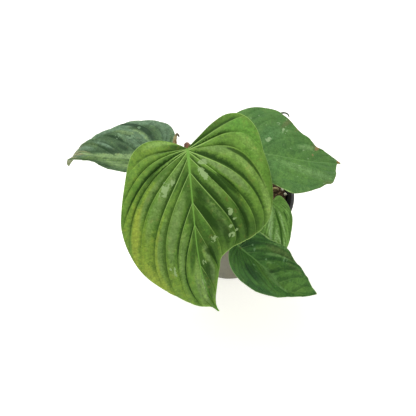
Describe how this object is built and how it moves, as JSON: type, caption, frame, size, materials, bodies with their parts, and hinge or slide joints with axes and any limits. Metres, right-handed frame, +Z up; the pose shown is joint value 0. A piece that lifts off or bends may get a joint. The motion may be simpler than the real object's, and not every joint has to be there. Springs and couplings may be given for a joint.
{
  "type": "potted philodendron",
  "caption": "Young philodendron with pleated heart-shaped leaves on slim scaly stalks, growing in bark mix in a round tapered nursery pot.",
  "frame": {"origin": "centre of the pot's underside, on the surface that it stands on", "axes": "+Z up along the pot's axis, -Y towards the viewer of the picture, +X to the viewer's right"},
  "size_m": [0.2208, 0.1636, 0.1781],
  "materials": {
    "pot_plastic": "moulded, satin",
    "bark_mix": "coarse bark chips with pale mineral grains",
    "stem_skin": "ringed green-brown stem",
    "petiole_skin": "scaly red-brown stalk",
    "blade_front": "pleated leaf, satin upper face",
    "blade_left": "pleated leaf, satin upper face",
    "blade_right": "pleated leaf, satin upper face",
    "blade_low_front": "pleated leaf, satin upper face",
    "blade_low_right": "pleated leaf, satin upper face",
    "dry_sheath": "dry, fibrous",
    "rolled_leaf": "smooth young leaf",
    "root_skin": "smooth pale root"
  },
  "bodies": {
    "root": {"pot": "pot_plastic", "potting_mix": "bark_mix", "stem": "stem_skin", "blade_front": "blade_front", "blade_left": "blade_left", "blade_right": "blade_right", "blade_low_front": "blade_low_front", "blade_low_right": "blade_low_right", "petiole_front": "petiole_skin", "petiole_left": "petiole_skin", "petiole_right": "petiole_skin", "petiole_low_front": "petiole_skin", "petiole_low_right": "petiole_skin", "dry_sheath": "dry_sheath", "rolled_leaf": "rolled_leaf", "surface_root": "root_skin"}
  },
  "joints": []
}
